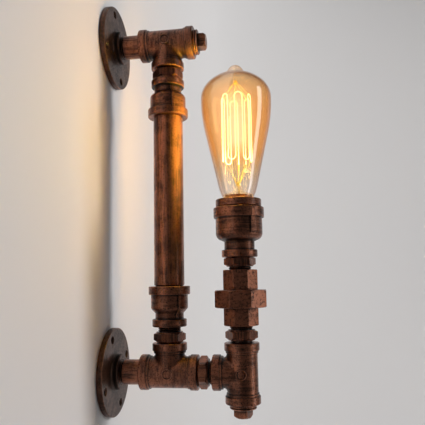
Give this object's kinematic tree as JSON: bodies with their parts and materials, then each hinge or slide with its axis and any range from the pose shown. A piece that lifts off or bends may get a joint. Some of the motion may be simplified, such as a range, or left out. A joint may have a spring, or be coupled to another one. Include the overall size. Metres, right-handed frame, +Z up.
{
  "type": "pipe wall light",
  "caption": "Wall light of threaded iron pipe: wall flanges, tees and reducers round a long pipe, a union and a lamp cup in front with a tall teardrop filament bulb.",
  "frame": {"origin": "centre of the lower wall flange's back face, on the wall plane", "axes": "+Z up along the main pipe, +Y into the wall, +X to the right for someone facing the wall"},
  "size_m": [0.078, 0.1522, 0.3853],
  "materials": {
    "dark_iron": "cast, dark brown-black, rubbed to copper at the edges",
    "dark_steel": "semi-gloss dark brown-black, rubbed",
    "rubber": "matte",
    "ceramic": "glazed",
    "zinc_steel": "zinc plated",
    "brass": "plain",
    "bronze": "sprung bronze",
    "sleeve": "satin black sleeve",
    "live_core": "brown insulation",
    "neutral_core": "blue insulation",
    "earth_core": "green and yellow insulation",
    "cap_brass": "satin",
    "black_glass": "opaque black",
    "amber_glass": "clear amber",
    "clear_glass": "clear",
    "filament": "glowing carbon filament",
    "nickel": "plain"
  },
  "bodies": {
    "wall_frame": {"lower_flange": "dark_iron", "upper_flange": "dark_iron", "lower_nipple": "dark_steel", "upper_nipple": "dark_steel", "lower_tee": "dark_iron", "upper_tee": "dark_iron", "upper_plug": "dark_steel", "lower_hex_nipple": "dark_steel", "upper_hex_nipple": "dark_steel", "lower_reducer": "dark_iron", "upper_reducer": "dark_iron", "main_pipe": "dark_steel", "arm_hex_nipple": "dark_steel", "front_tee": "dark_iron", "front_plug": "dark_steel", "union_hex_nipple": "dark_steel", "union_lower_end": "dark_iron", "union_gasket": "rubber", "inlet_bush": "rubber", "supply_cable": "sleeve"},
    "union_nut": {"union_nut": "dark_iron"},
    "head": {"union_upper_end": "dark_iron", "cup_hex_nipple": "dark_steel", "lamp_cup": "dark_iron", "seat_plate": "zinc_steel", "holder_body": "ceramic", "screw_shell": "brass", "contact_rivet": "brass", "shell_rivet": "brass", "live_terminal": "brass", "neutral_terminal": "brass", "terminal_screws": "zinc_steel", "earth_eyelet": "brass", "earth_screw": "zinc_steel", "clamp_ring": "dark_iron", "head_cable": "sleeve", "live_wire": "live_core", "neutral_wire": "neutral_core", "earth_wire": "earth_core"},
    "bulb": {"bulb_cap": "cap_brass", "cap_insulator": "black_glass", "bulb_contact": "cap_brass", "bulb_glass": "amber_glass", "bulb_stem": "clear_glass", "filament": "filament", "upper_spider": "nickel", "lower_spider": "nickel", "lead_wires": "nickel"},
    "contact": {"centre_contact": "bronze"}
  },
  "joints": [
    {"name": "union_nut_turn", "type": "hinge", "parent": "wall_frame", "child": "union_nut", "pos_m": [0, -0.1195, 0.064], "axis": [0, 0, 1], "continuous": true},
    {"name": "head_swivel", "type": "hinge", "parent": "wall_frame", "child": "head", "pos_m": [0, -0.1195, 0.068], "axis": [0, 0, 1], "range_deg": [-170, 170]},
    {"name": "bulb_lift", "type": "slide", "parent": "head", "child": "bulb", "axis": [0, 0, 1], "range_m": [0, 0.035]},
    {"name": "contact_flex", "type": "hinge", "parent": "head", "child": "contact", "pos_m": [-0.0092, -0.1195, 0.12796], "axis": [0, 1, 0], "range_deg": [0, 6], "stiffness_Nm_per_rad": 0.05, "springref_deg": -5.73}
  ]
}
